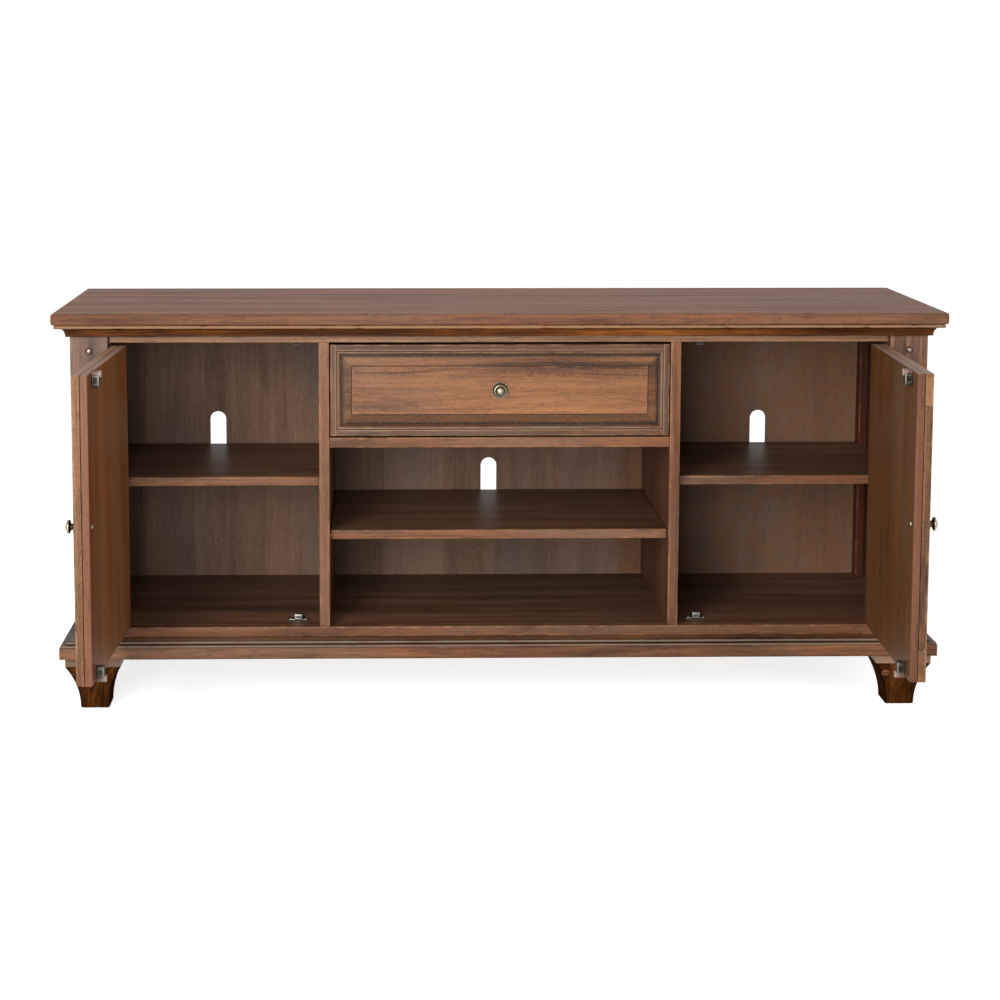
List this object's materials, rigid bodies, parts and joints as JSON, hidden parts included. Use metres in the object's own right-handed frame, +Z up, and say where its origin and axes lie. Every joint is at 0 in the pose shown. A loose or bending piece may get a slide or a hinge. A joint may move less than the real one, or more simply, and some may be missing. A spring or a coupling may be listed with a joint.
{
  "type": "media console",
  "caption": "Low wooden media console with hinged raised-panel side doors, a drawer over an open centre bay, shelves, cable slots and a moulded base on block feet.",
  "frame": {"origin": "on the floor, under the middle of the whole object's bounding box with both doors swung open as pictured", "axes": "+X to the right along the case's length, +Y from the front to the back, +Z up"},
  "size_m": [1.727, 0.842, 0.786],
  "materials": {
    "top_wood": "glossy dark red-brown stain, distressed",
    "face_wood": "satin red-brown stain, distressed",
    "foot_wood": "satin dark red-brown stain",
    "shelf_wood": "glossy dark brown stain",
    "inner_wood": "matt grey-brown stain",
    "door_back_wood": "satin flat red-brown",
    "drawer_box_wood": "clear lacquered pale wood",
    "dark_bronze": "dark antique bronze",
    "aged_brass": "aged brass",
    "catch_metal": "brown housing with bright pole plates",
    "strike_steel": "plated steel"
  },
  "bodies": {
    "case": {"back_panel": "inner_wood", "base_front": "face_wood", "base_left": "face_wood", "base_right": "face_wood", "bottom_rail": "face_wood", "catch_left_bottom": "catch_metal", "catch_left_top": "catch_metal", "catch_right_bottom": "catch_metal", "catch_right_top": "catch_metal", "crown_front": "face_wood", "crown_left": "face_wood", "crown_right": "face_wood", "deck": "shelf_wood", "divider_left": "inner_wood", "divider_right": "inner_wood", "drawer_deck": "inner_wood", "foot_front_left": "foot_wood", "foot_front_right": "foot_wood", "foot_rear_left": "foot_wood", "foot_rear_right": "foot_wood", "hinge_left_bottom_post_leaf": "aged_brass", "hinge_left_top_post_leaf": "aged_brass", "hinge_right_bottom_post_leaf": "aged_brass", "hinge_right_top_post_leaf": "aged_brass", "post_front_left": "face_wood", "post_front_right": "face_wood", "post_rear_left": "face_wood", "post_rear_right": "face_wood", "shelf_centre": "shelf_wood", "shelf_left": "shelf_wood", "shelf_right": "shelf_wood", "side_panel_left": "inner_wood", "side_panel_right": "inner_wood", "stud_left": "dark_bronze", "stud_right": "dark_bronze", "sub_top": "inner_wood", "top_rail": "face_wood", "top_slab": "top_wood"},
    "left_door": {"door_left_backing": "door_back_wood", "door_left_frame": "face_wood", "door_left_knob": "dark_bronze", "door_left_panel": "face_wood", "door_left_strike_bottom": "strike_steel", "door_left_strike_top": "strike_steel", "hinge_left_bottom_door_leaf": "aged_brass", "hinge_left_top_door_leaf": "aged_brass"},
    "right_door": {"door_right_backing": "door_back_wood", "door_right_frame": "face_wood", "door_right_knob": "dark_bronze", "door_right_panel": "face_wood", "door_right_strike_bottom": "strike_steel", "door_right_strike_top": "strike_steel", "hinge_right_bottom_door_leaf": "aged_brass", "hinge_right_top_door_leaf": "aged_brass"},
    "drawer": {"drawer_back": "drawer_box_wood", "drawer_bottom": "drawer_box_wood", "drawer_front": "face_wood", "drawer_knob": "dark_bronze", "drawer_side_left": "drawer_box_wood", "drawer_side_right": "drawer_box_wood"}
  },
  "joints": [
    {"name": "left_door_swing", "type": "hinge", "parent": "case", "child": "left_door", "pos_m": [-0.7552, -0.02028, 0.44285], "axis": [0, 0, -1], "range_deg": [-92.6, 22.4]},
    {"name": "right_door_swing", "type": "hinge", "parent": "case", "child": "right_door", "pos_m": [0.7552, -0.02028, 0.44285], "axis": [0, 0, 1], "range_deg": [-88, 27]},
    {"name": "drawer_slide", "type": "slide", "parent": "case", "child": "drawer", "axis": [0, -1, 0], "range_m": [0, 0.3]}
  ]
}
